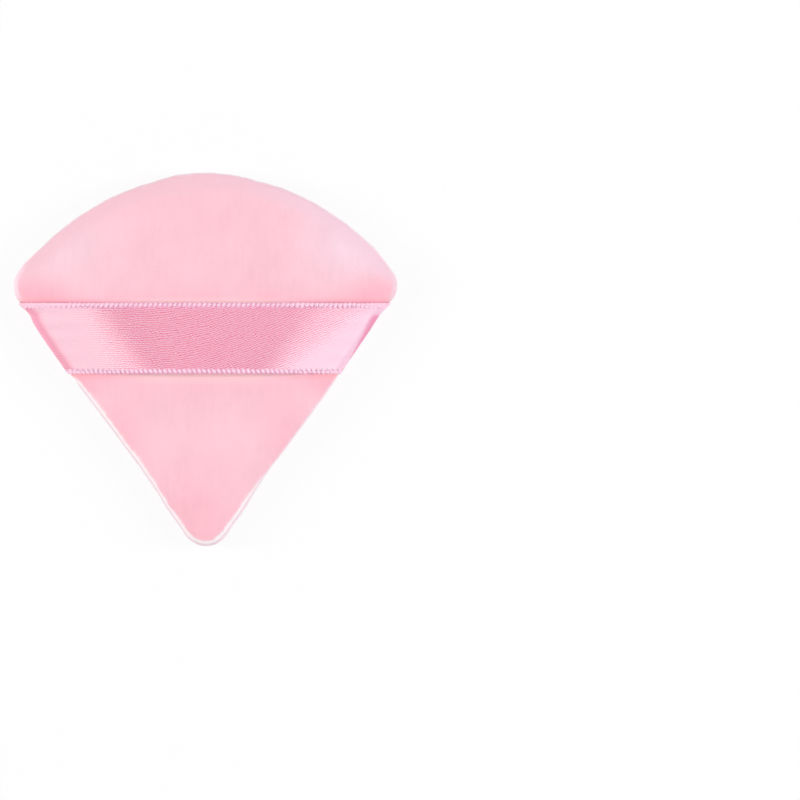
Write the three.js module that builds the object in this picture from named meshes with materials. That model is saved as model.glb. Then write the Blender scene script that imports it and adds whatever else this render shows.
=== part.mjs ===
// A triangular velour powder puff with a satin finger ribbon, lying on its powder side.
// Millimetres. +Z points up through the ribbon, +Y from the tip to the bowed edge, +X to the right.
// The origin is on the resting plane, under the middle of the puff's width and height.
import * as THREE from "three";

// Plan outline: two slightly hollow sides from a rounded tip to rounded corners, under a bowed edge
const PUFF_WIDTH = 81;
const PUFF_HEIGHT = 79;
const TOP_BOW = 24; // from the corners' centres up to the top of the bowed edge
const CORNER_RADIUS = 4;
const TIP_RADIUS = 5.3;
const SIDE_HOLLOW_RADIUS = 775;

// Space between pieces that touch
const CLEARANCE = 0.3;

// Velour cover: each panel rolls round the edge into the seam and swells to a crown
const VELOUR_THICKNESS = 1;
const INNER_ROLL_RADIUS = 0.3; // inside the fold beside the seam
const SHOULDER_HOLLOW = 4; // how far in from the fabric's inside the edge takes to level out
const SHOULDER_DEPTH = 1.5; // how far the fabric's inside climbs over that reach
const CROWN_HEIGHT = 1.6;
const FACE_CROWN_HEIGHT = 0.9; // the powder side is pressed flat in its middle
const FACE_FLAT_SHARE = 0.34; // of the way from the outline to the heart, where that flat begins

// Seam
const STITCH_SETBACK = 1.3; // from the fold to the stitch line
const SEAM_ALLOWANCE = 2; // from the stitch line to the fabric's raw edge
const STITCH_LENGTH = 2.6;
const STITCH_WAVE = 0.08; // half the rise and fall of a thread along its stitches
const THREAD_DIAMETER = 0.4;
const TURNING_GAP_LENGTH = 38; // left open to turn the cover, then closed by hand
const LADDER_STITCH_LENGTH = 3.2;
const LADDER_STITCH_DEPTH = 1.3;
const SEAM_FADE = 6; // over which the seam closes up beside the ribbon and the turning gap

// Sponge core
const CORE_EDGE_RADIUS = 0.8;

// Satin ribbon, caught in both side seams and standing clear of the crown
const RIBBON_WIDTH = 15;
const RIBBON_DROP = 1.1; // from the end of the rounded corner down to the ribbon
const RIBBON_THICKNESS = 0.35;
const RIBBON_TAIL = 1.6; // past the stitch line
const FINGER_GAP = 5;
const EDGE_YARN_WIDTH = 0.9;
const EDGE_YARN_THICKNESS = 0.55;
const WRAP_ANGLE = THREE.MathUtils.degToRad(35); // how far the ribbon hugs the shoulder
const ARCH_START_SHARE = 0.36; // of the half span, the pull of each end of the arch
const ARCH_TOP_SHARE = 0.45;

// Steps along each stretch
const TIP_STEPS = 4;
const SIDE_STEPS = 9;
const CORNER_STEPS = 6;
const BOW_STEPS = 9;
const ROLL_STEPS = 3;
const SHOULDER_STEPS = 4;
const INNER_ROLL_STEPS = 1;
const INNER_SHOULDER_STEPS = 2;
const CROWN_RING_SHARES = [0.14, 0.34, 0.56, 0.78];
const WRAP_STEPS = 3;
const ARCH_STEPS = 11;
const WEB_STRIPS = 4;
const YARN_SIDES = 8;
const THREAD_SIDES = 5;
const LADDER_SIDES = 6;

const plyHalfGap = RIBBON_THICKNESS / 2 + CLEARANCE;
const rollRadius = INNER_ROLL_RADIUS + VELOUR_THICKNESS;
const shoulderReach = SHOULDER_HOLLOW + VELOUR_THICKNESS;
const shoulderRise = SHOULDER_DEPTH + VELOUR_THICKNESS;
const stitchInset = rollRadius + STITCH_SETBACK;
const plyInset = stitchInset + SEAM_ALLOWANCE;
const halfPadHeight = plyHalfGap + rollRadius + shoulderRise;
const seamZ = halfPadHeight + FACE_CROWN_HEIGHT;

// The two sides of the pad, each by its direction from the seam and the way that it swells
const strapSide = { up: 1, crown: CROWN_HEIGHT, flatShare: 1 };
const powderSide = { up: -1, crown: FACE_CROWN_HEIGHT, flatShare: FACE_FLAT_SHARE };

// Centres of the outline's arcs on the right half
const tip = new THREE.Vector2(0, TIP_RADIUS - PUFF_HEIGHT / 2);
const corner = new THREE.Vector2(PUFF_WIDTH / 2 - CORNER_RADIUS, PUFF_HEIGHT / 2 - TOP_BOW);
const bowRadius =
  (corner.x ** 2 + TOP_BOW ** 2 - CORNER_RADIUS ** 2) / (2 * (TOP_BOW - CORNER_RADIUS));
const bow = new THREE.Vector2(0, PUFF_HEIGHT / 2 - bowRadius);
const side = sideCentre();

// The centre of the circle that touches the top and both sides: the rings of the pad shrink to it
const sideNormal = side.clone().sub(tip).normalize();
const heart = new THREE.Vector2(
  0,
  (PUFF_HEIGHT / 2 - TIP_RADIUS - sideNormal.y * tip.y) / (1 - sideNormal.y),
);

// The ribbon's edges, set off from the lower end of the rounded corner
const cornerEndY = corner.y + CORNER_RADIUS * side.clone().sub(corner).normalize().y;
const ribbonTopY = cornerEndY - RIBBON_DROP;
const ribbonLowY = ribbonTopY - RIBBON_WIDTH;

// Meets the tip's circle and the corner's circle from outside, so the side runs smoothly into both
function sideCentre() {
  const along = corner.clone().sub(tip);
  const span = along.length();
  const fromTip = SIDE_HOLLOW_RADIUS + TIP_RADIUS;
  const fromCorner = SIDE_HOLLOW_RADIUS + CORNER_RADIUS;
  const shareAlong = (fromTip ** 2 - fromCorner ** 2 + span ** 2) / (2 * span ** 2);
  const out = Math.sqrt(fromTip ** 2 - (shareAlong * span) ** 2);
  const outward = new THREE.Vector2(along.y, -along.x).normalize();
  return tip.clone().addScaledVector(along, shareAlong).addScaledVector(outward, out);
}

// Points along an arc with their outward normals; a hollow arc's normals point at its centre
function arcSamples(centre, radius, from, to, steps, hollow = false) {
  return Array.from({ length: steps }, (_, i) => {
    const angle = THREE.MathUtils.lerp(from, to, i / steps);
    const outward = new THREE.Vector2(Math.cos(angle), Math.sin(angle));
    const place = centre.clone().addScaledVector(outward, radius);
    return { place, normal: hollow ? outward.negate() : outward };
  });
}

// The outline counter-clockwise from the tip, the right half worked out and the left half its mirror
function outlineSamples() {
  const down = -Math.PI / 2;
  const tipEnd = side.clone().sub(tip).angle() - 2 * Math.PI;
  const cornerStart = side.clone().sub(corner).angle() - 2 * Math.PI;
  const cornerEnd = corner.clone().sub(bow).angle();
  const right = [
    ...arcSamples(tip, TIP_RADIUS, down, tipEnd, TIP_STEPS),
    ...arcSamples(side, SIDE_HOLLOW_RADIUS, tipEnd + Math.PI, cornerStart + Math.PI, SIDE_STEPS, true),
    ...arcSamples(corner, CORNER_RADIUS, cornerStart, cornerEnd, CORNER_STEPS),
    ...arcSamples(bow, bowRadius, cornerEnd, -down, BOW_STEPS),
  ];
  const top = arcSamples(bow, bowRadius, -down, -down, 1);
  const mirrored = right.slice(1).reverse();
  const left = mirrored.map(({ place, normal }) => ({
    place: new THREE.Vector2(-place.x, place.y),
    normal: new THREE.Vector2(-normal.x, normal.y),
  }));
  return [...right, ...top, ...left].map(({ place, normal }) => ({
    place,
    reach: place.clone().sub(heart).dot(normal),
    tightening: (plyHalfGap - CLEARANCE / 2) * seamClosure(place),
  }));
}

// The seam is fully open, at 0, for the ribbon's tails and the ladder stitch, and closed, at 1, elsewhere
function seamClosure(place) {
  const pastRibbon = Math.abs(place.y - (ribbonTopY + ribbonLowY) / 2) - RIBBON_WIDTH / 2;
  const pastTurningGap =
    place.y > corner.y ? Math.abs(place.x) - TURNING_GAP_LENGTH / 2 : PUFF_WIDTH;
  const past = Math.min(pastRibbon, pastTurningGap) - rollRadius;
  return THREE.MathUtils.smoothstep(past, 0, SEAM_FADE);
}

const outline = outlineSamples();

// How far a crown has risen at a share of the way from the outline to the heart
function crownRise(share, { crown, flatShare }) {
  const left = 1 - Math.min(1, share / flatShare);
  return crown * (1 - left ** 2);
}

// A ring of the pad. Its place is an inset from the outline, or a share of the way inwards from the
// shoulder's reach. Its rise is counted from the open seam, and closing says how far it follows the
// fabric where the seam closes up.
function padRing({ inset, inwardShare, rise, crowned = true, closing = 0 }, face) {
  return outline.map(({ place, reach, tightening }) => {
    const shoulderShare = shoulderReach / reach;
    const share =
      inwardShare === undefined ? inset / reach : THREE.MathUtils.lerp(shoulderShare, 1, inwardShare);
    const flat = place.clone().lerp(heart, share);
    const swell = crowned ? crownRise(share, face) : 0;
    const height = rise + swell - closing * tightening;
    return new THREE.Vector3(flat.x, flat.y, seamZ + face.up * height);
  });
}

// Section of the fold beside the seam, at a lift from the velour's outside, from ply to outermost point
function rollPoint(angle, lift) {
  return {
    inset: rollRadius - (rollRadius + lift) * Math.sin(angle),
    rise: plyHalfGap + rollRadius - (rollRadius + lift) * Math.cos(angle),
    crowned: false,
    closing: Math.cos(angle),
  };
}

// Section of the shoulder at a lift from the velour's outside, from the outermost point to level
function shoulderPoint(angle, lift) {
  return {
    inset: shoulderReach - (shoulderReach + lift) * Math.cos(angle),
    rise: plyHalfGap + rollRadius + (shoulderRise + lift) * Math.sin(angle),
  };
}

// The height of the shoulder above the seam at an inset from the outline
function shoulderRiseAt(inset, lift) {
  const cosine = THREE.MathUtils.clamp((shoulderReach - inset) / (shoulderReach + lift), 0, 1);
  return shoulderPoint(Math.acos(cosine), lift).rise;
}

function steps(count, make) {
  return Array.from({ length: count + 1 }, (_, i) => make(i / count));
}

// One face of a panel, from its middle out to the raw edge of its seam allowance
function panelStations(lift, shoulderSteps, rollSteps) {
  const quarter = Math.PI / 2;
  const middle = [...CROWN_RING_SHARES].reverse().map((inwardShare) => ({
    inwardShare,
    rise: halfPadHeight + lift,
  }));
  return [
    ...middle,
    ...steps(shoulderSteps, (t) => shoulderPoint(quarter * (1 - t), lift)),
    ...steps(rollSteps, (t) => rollPoint(quarter * (1 - t), lift)).slice(1),
    { inset: plyInset, rise: plyHalfGap - lift, crowned: false, closing: 1 },
  ];
}

// Triangles between consecutive rings of equal count, closed to a point at each end
function loftBetweenPoles(first, rings, last) {
  const count = rings[0].length;
  const points = [first, ...rings.flat(), last];
  const at = (ring, i) => 1 + ring * count + (i % count);
  const index = [];
  for (let i = 0; i < count; i += 1) {
    index.push(0, at(0, i), at(0, i + 1));
    for (let ring = 0; ring < rings.length - 1; ring += 1) {
      index.push(at(ring, i), at(ring + 1, i), at(ring + 1, i + 1));
      index.push(at(ring, i), at(ring + 1, i + 1), at(ring, i + 1));
    }
    index.push(points.length - 1, at(rings.length - 1, i + 1), at(rings.length - 1, i));
  }
  return meshGeometry(points, index);
}

function meshGeometry(points, index) {
  const geometry = new THREE.BufferGeometry().setFromPoints(points);
  geometry.setIndex(index);
  geometry.computeVertexNormals();
  return geometry;
}

// Turns a surface round, for a piece lofted from above downwards on the powder side
function flipped(geometry) {
  const index = [...geometry.index.array];
  geometry.setIndex(index.reverse());
  geometry.computeVertexNormals();
  return geometry;
}

function poleAt(rise, face) {
  return new THREE.Vector3(heart.x, heart.y, seamZ + face.up * (rise + face.crown));
}

// An open bowl of velour: crown outside, fold, seam allowance, then back inside to the middle
function panelGeometry(face) {
  const outer = panelStations(0, SHOULDER_STEPS, ROLL_STEPS);
  const inner = panelStations(-VELOUR_THICKNESS, INNER_SHOULDER_STEPS, INNER_ROLL_STEPS);
  const outside = outer.map((station) => padRing(station, face));
  const inside = inner.map((station) => padRing(station, face));
  const bowl = loftBetweenPoles(
    poleAt(halfPadHeight, face),
    [...outside, ...inside.reverse()],
    poleAt(halfPadHeight - VELOUR_THICKNESS, face),
  );
  return face.up > 0 ? bowl : flipped(bowl);
}

// Half of the sponge, from its middle out to its cut edge, which meets the seam allowances
function coreStations() {
  const lift = -VELOUR_THICKNESS - CLEARANCE;
  const coreInset = plyInset + CLEARANCE;
  const middle = [...CROWN_RING_SHARES].reverse().map((inwardShare) => ({
    inwardShare,
    rise: halfPadHeight + lift,
  }));
  const rim = steps(ROLL_STEPS, (t) => {
    const angle = (Math.PI / 2) * (1 - t);
    const inset = coreInset + CORE_EDGE_RADIUS * (1 - Math.cos(angle));
    return { inset, rise: shoulderRiseAt(inset, lift) - CORE_EDGE_RADIUS * (1 - Math.sin(angle)) };
  });
  return [...middle, ...rim];
}

function coreGeometry() {
  const depth = halfPadHeight - VELOUR_THICKNESS - CLEARANCE;
  const upper = coreStations().map((station) => padRing(station, strapSide));
  const lower = coreStations().map((station) => padRing(station, powderSide));
  return loftBetweenPoles(
    poleAt(depth, strapSide),
    [...upper, ...lower.reverse()],
    poleAt(depth, powderSide),
  );
}

// The x of the right side at a height y, a given inset inwards from it
function sideX(y, inset) {
  return side.x - Math.sqrt((SIDE_HOLLOW_RADIUS + inset) ** 2 - (y - side.y) ** 2);
}

// Half of the ribbon's run at one y and one lift from the velour, from its tail to the top of the arch.
// It leaves the seam, hugs the fold and the shoulder, and rises in one curve to the middle.
function ribbonHalfRun(y, lift, withTail) {
  const quarter = Math.PI / 2;
  const tail = { inset: stitchInset + RIBBON_TAIL, rise: plyHalfGap - lift, crowned: false };
  const fold = steps(ROLL_STEPS, (t) => rollPoint(quarter * t, lift));
  const wrap = steps(WRAP_STEPS, (t) => shoulderPoint(WRAP_ANGLE * t, lift)).slice(1);
  const hugging = withTail ? [tail, ...fold, ...wrap] : [...fold.slice(-1), ...wrap];
  const sideReach = sideNormal.x * sideX(heart.y, 0);
  const held = hugging.map(({ inset, rise, crowned = true }) => {
    const swell = crowned ? crownRise(inset / sideReach, strapSide) : 0;
    return new THREE.Vector3(sideX(y, inset), y, seamZ + rise + swell);
  });
  return [...held.slice(0, -1), ...archPoints(held.at(-1), y, lift)];
}

function archPoints(start, y, lift) {
  const slope =
    (sideNormal.x * shoulderRise * Math.cos(WRAP_ANGLE)) / (shoulderReach * Math.sin(WRAP_ANGLE));
  const topZ = seamZ + halfPadHeight + CROWN_HEIGHT + FINGER_GAP + lift - CLEARANCE;
  const pull = ARCH_START_SHARE * start.x;
  const arch = new THREE.CubicBezierCurve3(
    start,
    new THREE.Vector3(start.x - pull, y, start.z + slope * pull),
    new THREE.Vector3(ARCH_TOP_SHARE * start.x, y, topZ),
    new THREE.Vector3(0, y, topZ),
  );
  return arch.getPoints(ARCH_STEPS);
}

// The whole run, from the left tail over the middle to the right tail
function ribbonRun(y, lift, withTail) {
  const right = ribbonHalfRun(y, lift, withTail);
  const left = right.map((point) => new THREE.Vector3(-point.x, point.y, point.z));
  return [...left, ...right.slice(0, -1).reverse()];
}

// A tube through rings of equal count; a closed one joins its ends, an open one is capped by strips
function tubeGeometry(rings, closed) {
  const count = rings[0].length;
  const at = (ring, i) => (ring % rings.length) * count + (i % count);
  const index = [];
  const lastRing = closed ? rings.length : rings.length - 1;
  for (let ring = 0; ring < lastRing; ring += 1)
    for (let i = 0; i < count; i += 1) {
      index.push(at(ring, i), at(ring, i + 1), at(ring + 1, i + 1));
      index.push(at(ring, i), at(ring + 1, i + 1), at(ring + 1, i));
    }
  if (!closed)
    for (let i = 0; i < count / 2 - 1; i += 1) {
      const quad = [i, i + 1, count - 2 - i, count - 1 - i];
      const [a, b, c, d] = quad;
      index.push(a, c, b, a, d, c);
      const end = (rings.length - 1) * count;
      index.push(end + a, end + b, end + c, end + a, end + c, end + d);
    }
  return meshGeometry(rings.flat(), index);
}

// Sweeps a section, given in y and lift from the velour, along the ribbon's run
function alongRibbon(section, withTail) {
  const runs = section.map(({ y, lift }) => ribbonRun(y, lift, withTail));
  const rings = runs[0].map((_, station) => runs.map((run) => run[station]));
  return tubeGeometry(rings, false);
}

function webGeometry() {
  const low = ribbonLowY + EDGE_YARN_WIDTH + CLEARANCE;
  const high = ribbonTopY - EDGE_YARN_WIDTH - CLEARANCE;
  const across = steps(WEB_STRIPS, (t) => THREE.MathUtils.lerp(low, high, t));
  const under = across.map((y) => ({ y, lift: CLEARANCE }));
  const over = across.map((y) => ({ y, lift: CLEARANCE + RIBBON_THICKNESS })).reverse();
  return alongRibbon([...under, ...over], true);
}

// The overcast yarn along one edge: an oval section that ends where the ribbon enters the seam
function edgeYarnGeometry(centreY) {
  const centreLift = CLEARANCE + EDGE_YARN_THICKNESS / 2;
  const section = Array.from({ length: YARN_SIDES }, (_, i) => {
    const angle = ((i + 1 / 2) / YARN_SIDES) * 2 * Math.PI;
    return {
      y: centreY - (EDGE_YARN_WIDTH / 2) * Math.cos(angle),
      lift: centreLift - (EDGE_YARN_THICKNESS / 2) * Math.sin(angle),
    };
  });
  return alongRibbon(section, false);
}

// A round thread along points that lie nearly level
function threadGeometry(points, diameter, sides, closed) {
  const last = points.length - 1;
  const rings = points.map((point, i) => {
    const next = closed ? points[(i + 1) % points.length] : points[Math.min(i + 1, last)];
    const before = closed ? points.at(i - 1) : points[Math.max(i - 1, 0)];
    const along = next.clone().sub(before).normalize();
    const across = new THREE.Vector3(-along.y, along.x, 0).normalize();
    const upright = along.clone().cross(across);
    return Array.from({ length: sides }, (_, k) => {
      const angle = ((k + 1 / 2) / sides) * 2 * Math.PI;
      return point
        .clone()
        .addScaledVector(across, (diameter / 2) * Math.cos(angle))
        .addScaledVector(upright, (diameter / 2) * Math.sin(angle));
    });
  });
  return tubeGeometry(rings, closed);
}

// One thread of the lockstitch that runs round the whole pad, on the inside of one seam allowance
function seamThreadGeometry(face) {
  const rise = plyHalfGap + VELOUR_THICKNESS + CLEARANCE + THREAD_DIAMETER / 2 + STITCH_WAVE;
  const line = padRing({ inset: stitchInset, rise, crowned: false, closing: 1 }, face);
  const loop = new THREE.CatmullRomCurve3(line, true, "centripetal");
  const stitches = Math.round(loop.getLength() / STITCH_LENGTH);
  const spots = loop.getSpacedPoints(2 * stitches).slice(0, -1);
  spots.forEach((spot, i) => {
    spot.z += i % 2 ? STITCH_WAVE : -STITCH_WAVE;
  });
  return threadGeometry(spots, THREAD_DIAMETER, THREAD_SIDES, true);
}

// The ladder stitch that closes the turning gap, to and fro between the panels under the bowed edge
function closingThreadGeometry() {
  const diameter = 2 * (plyHalfGap - CLEARANCE);
  const count = Math.round(TURNING_GAP_LENGTH / LADDER_STITCH_LENGTH);
  const halfAngle = TURNING_GAP_LENGTH / 2 / bowRadius;
  const spots = steps(count, (t) => {
    const angle = Math.PI / 2 + halfAngle * (2 * t - 1);
    const inward = Math.round(t * count) % 2 ? LADDER_STITCH_DEPTH : 0;
    const radius = bowRadius - rollRadius - inward;
    return new THREE.Vector3(radius * Math.cos(angle), bow.y + radius * Math.sin(angle), seamZ);
  });
  return threadGeometry(spots, diameter, LADDER_SIDES, false);
}

const velour = new THREE.MeshStandardMaterial({ color: 0xffc8d2, roughness: 0.95, metalness: 0 });
const sponge = new THREE.MeshStandardMaterial({ color: 0xfff1ea, roughness: 0.9, metalness: 0 });
const satin = new THREE.MeshStandardMaterial({ color: 0xf5a0be, roughness: 0.35, metalness: 0 });
const edgeYarn = new THREE.MeshStandardMaterial({ color: 0xf6cfe2, roughness: 0.55, metalness: 0 });
const thread = new THREE.MeshStandardMaterial({ color: 0xf9bccb, roughness: 0.6, metalness: 0 });

const puff = new THREE.Group();
const pieces = [
  ["back_panel", panelGeometry(strapSide), velour],
  ["face_panel", panelGeometry(powderSide), velour],
  ["sponge_core", coreGeometry(), sponge],
  ["ribbon_strap", webGeometry(), satin],
  ["ribbon_upper_edge", edgeYarnGeometry(ribbonTopY - EDGE_YARN_WIDTH / 2), edgeYarn],
  ["ribbon_lower_edge", edgeYarnGeometry(ribbonLowY + EDGE_YARN_WIDTH / 2), edgeYarn],
  ["seam_needle_thread", seamThreadGeometry(strapSide), thread],
  ["seam_bobbin_thread", seamThreadGeometry(powderSide), thread],
  ["closing_thread", closingThreadGeometry(), thread],
];
for (const [name, geometry, material] of pieces) {
  const mesh = new THREE.Mesh(geometry, material);
  mesh.name = name;
  puff.add(mesh);
}

export default puff;
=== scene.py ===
import math

import bpy
import numpy as np
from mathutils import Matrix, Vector


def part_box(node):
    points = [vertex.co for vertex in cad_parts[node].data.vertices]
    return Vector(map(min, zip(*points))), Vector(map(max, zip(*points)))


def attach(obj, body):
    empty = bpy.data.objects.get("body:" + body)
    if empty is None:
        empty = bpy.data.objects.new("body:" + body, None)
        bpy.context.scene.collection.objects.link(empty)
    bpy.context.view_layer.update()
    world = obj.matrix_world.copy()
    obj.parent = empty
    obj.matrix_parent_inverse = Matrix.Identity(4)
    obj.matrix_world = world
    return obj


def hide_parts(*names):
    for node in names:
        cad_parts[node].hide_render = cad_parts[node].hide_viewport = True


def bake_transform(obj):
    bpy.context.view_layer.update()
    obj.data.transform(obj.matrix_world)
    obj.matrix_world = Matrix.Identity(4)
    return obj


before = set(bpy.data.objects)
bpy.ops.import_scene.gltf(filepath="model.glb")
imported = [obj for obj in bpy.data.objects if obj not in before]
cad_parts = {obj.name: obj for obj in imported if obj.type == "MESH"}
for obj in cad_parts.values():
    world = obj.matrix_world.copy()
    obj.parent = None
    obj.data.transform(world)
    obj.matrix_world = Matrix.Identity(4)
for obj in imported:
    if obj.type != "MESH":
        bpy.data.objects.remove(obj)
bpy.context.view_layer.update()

# A velour powder puff lying on its powder side, seen from straight above.
# Lengths are in metres; mm turns a size in millimetres into metres.
mm = 0.001

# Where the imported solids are
backLow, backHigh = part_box("back_panel")
webLow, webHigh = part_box("ribbon_strap")
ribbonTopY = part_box("ribbon_upper_edge")[1].y
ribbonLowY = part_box("ribbon_lower_edge")[0].y
ribbonMiddleY = (ribbonTopY + ribbonLowY) / 2
halfRibbon = (ribbonTopY - ribbonLowY) / 2
seamZ = (webLow.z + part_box("closing_thread")[1].z) / 2

# The pad: its outline's arcs, and the velour's section round the edge
pad = {
    "width": backHigh.x - backLow.x,
    "height": backHigh.y - backLow.y,
    "topBow": 24 * mm,            # corners' centres up to the top of the bowed edge
    "cornerRadius": 4 * mm,
    "tipRadius": 5.3 * mm,
    "hollowRadius": 775 * mm,     # of the two slightly hollow sides
    "velourThickness": 1.0 * mm,
    "foldRadius": 1.3 * mm,       # outside the fold beside the seam
    "shoulderReach": 5 * mm,      # from the outline in to where the edge levels out
    "shoulderRise": 2.5 * mm,
    "stitchInset": 2.6 * mm,
    "rawEdgeInset": 4.6 * mm,
    "closedHalfGap": 0.15 * mm,   # between the plies where nothing passes
    "openHalfGap": 0.475 * mm,    # where the ribbon's tails or the ladder stitch pass
    "seamFade": 6 * mm,
    "turningGap": 38 * mm,        # closed by hand under the bowed edge
    "clearance": 0.3 * mm,
}
padRise = pad["openHalfGap"] + pad["foldRadius"] + pad["shoulderRise"]

# The two faces, each by its direction from the seam and the way that it swells
strapFace = {"up": 1, "crown": 1.6 * mm, "flatShare": 1.0}
powderFace = {"up": -1, "crown": 0.9 * mm, "flatShare": 0.34}


def makeActive(piece):
    for each in bpy.context.selected_objects:
        each.select_set(False)
    piece.select_set(True)
    bpy.context.view_layer.objects.active = piece


def addObject(name, data):
    added = bpy.data.objects.new(name, data)
    bpy.context.scene.collection.objects.link(added)
    return added


def pieceFrom(name, points, faces):
    mesh = bpy.data.meshes.new(name)
    mesh.from_pydata([tuple(p) for p in points], [], faces)
    mesh.update()
    return addObject(name, mesh)


def addWall(piece, thickness, offset):
    wall = piece.modifiers.new("wall", "SOLIDIFY")
    wall.thickness = thickness
    wall.offset = offset


def addFiner(piece):
    finer = piece.modifiers.new("finer", "SUBSURF")
    finer.levels = finer.render_levels = 1


# Applies the piece's modifiers and shades it smooth up to an angle
def finishMesh(piece, degrees):
    makeActive(piece)
    for name in [each.name for each in piece.modifiers]:
        bpy.ops.object.modifier_apply(modifier=name)
    bpy.ops.object.shade_smooth_by_angle(angle=math.radians(degrees))
    return piece


def smoothStep(value, start, end):
    t = np.clip((value - start) / (end - start), 0, 1)
    return t * t * (3 - 2 * t)


def mix(a, b, share):
    return a + (b - a) * share


def stepsUpTo(count):
    return [k / count for k in range(1, count + 1)]


# Each column of a table, read at some distances along its runs
def readAlong(distance, runs, table):
    return np.stack([np.interp(distance, runs, column) for column in table.T], -1)


def gridFaces(rows, columns):
    return [(i * columns + j, (i + 1) * columns + j, (i + 1) * columns + j + 1, i * columns + j + 1)
            for i in range(rows - 1) for j in range(columns - 1)]


def ringFaces(inner, outer):
    return list(zip(inner, outer, outer[1:] + outer[:1], inner[1:] + inner[:1]))


# Centres of the outline's arcs on the right half
tipCentre = np.array((0, pad["tipRadius"] - pad["height"] / 2))
cornerCentre = np.array((pad["width"] / 2 - pad["cornerRadius"], pad["height"] / 2 - pad["topBow"]))
bowRadius = (cornerCentre[0] ** 2 + pad["topBow"] ** 2 - pad["cornerRadius"] ** 2) / (
    2 * (pad["topBow"] - pad["cornerRadius"]))
bowCentre = np.array((0, pad["height"] / 2 - bowRadius))


def findHollowCentre():
    along = cornerCentre - tipCentre
    span = np.hypot(*along)
    fromTip = pad["hollowRadius"] + pad["tipRadius"]
    fromCorner = pad["hollowRadius"] + pad["cornerRadius"]
    share = (fromTip ** 2 - fromCorner ** 2 + span ** 2) / (2 * span ** 2)
    out = math.sqrt(fromTip ** 2 - (share * span) ** 2)
    return tipCentre + along * share + np.array((along[1], -along[0])) / span * out


hollowCentre = findHollowCentre()
sideNormal = (hollowCentre - tipCentre) / np.hypot(*(hollowCentre - tipCentre))

# The circle that touches the top and both sides: the pad's rings shrink to its centre
heart = np.array((0, (pad["height"] / 2 - pad["tipRadius"] - sideNormal[1] * tipCentre[1])
                  / (1 - sideNormal[1])))


def angleOf(vector):
    return math.atan2(vector[1], vector[0])


def arcPoints(centre, radius, start, end, hollow=False, steps=160):
    angles = np.linspace(start, end, steps)
    outward = np.stack((np.cos(angles), np.sin(angles)), 1)
    return centre + outward * radius, -outward if hollow else outward


# Places and normals from the tip round the right half, then back down its mirror image
def traceOutline():
    tipEnd = angleOf(hollowCentre - tipCentre)
    cornerStart = angleOf(hollowCentre - cornerCentre)
    cornerEnd = angleOf(cornerCentre - bowCentre)
    arcs = [
        arcPoints(tipCentre, pad["tipRadius"], -math.pi / 2, tipEnd),
        arcPoints(hollowCentre, pad["hollowRadius"], tipEnd + math.pi, cornerStart + math.pi, True),
        arcPoints(cornerCentre, pad["cornerRadius"], cornerStart, cornerEnd),
        arcPoints(bowCentre, bowRadius, cornerEnd, math.pi / 2),
    ]
    halves = [np.concatenate([arc[k][:-1] for arc in arcs] + [arcs[-1][k][-1:]]) for k in (0, 1)]
    return [np.concatenate((half, (half * (-1, 1))[::-1][1:])) for half in halves]


outlinePlaces, outlineNormals = traceOutline()
outlineRun = np.concatenate(([0], np.cumsum(np.hypot(*np.diff(outlinePlaces, axis=0).T))))
halfRound = outlineRun[-1] / 2
rightHalf = slice(len(outlinePlaces) // 2)
cornerMiddle = np.argmin(np.hypot(*(outlinePlaces[rightHalf] - cornerCentre
                                    - pad["cornerRadius"] * np.array((1, 0))).T))
quarterRuns = np.array((0, outlineRun[cornerMiddle], halfRound,
                        outlineRun[-1] - outlineRun[cornerMiddle], outlineRun[-1]))


# Quarters run counter-clockwise from the tip: right corner at 1, bow's top at 2, left corner at 3
def outlineAt(quarters):
    run = np.interp(quarters, np.arange(5), quarterRuns)
    place, normal = (readAlong(run, outlineRun, table) for table in (outlinePlaces, outlineNormals))
    return place, normal / np.hypot(*normal.T)[:, None], run


# 0 where the seam stays open for the ribbon or the ladder stitch, 1 where it is closed
def seamClosure(place):
    pastRibbon = np.abs(place[:, 1] - ribbonMiddleY) - halfRibbon
    pastTurning = np.where(place[:, 1] > cornerCentre[1],
                           np.abs(place[:, 0]) - pad["turningGap"] / 2, pad["width"])
    past = np.minimum(pastRibbon, pastTurning) - pad["foldRadius"]
    return smoothStep(past, 0, pad["seamFade"])


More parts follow.
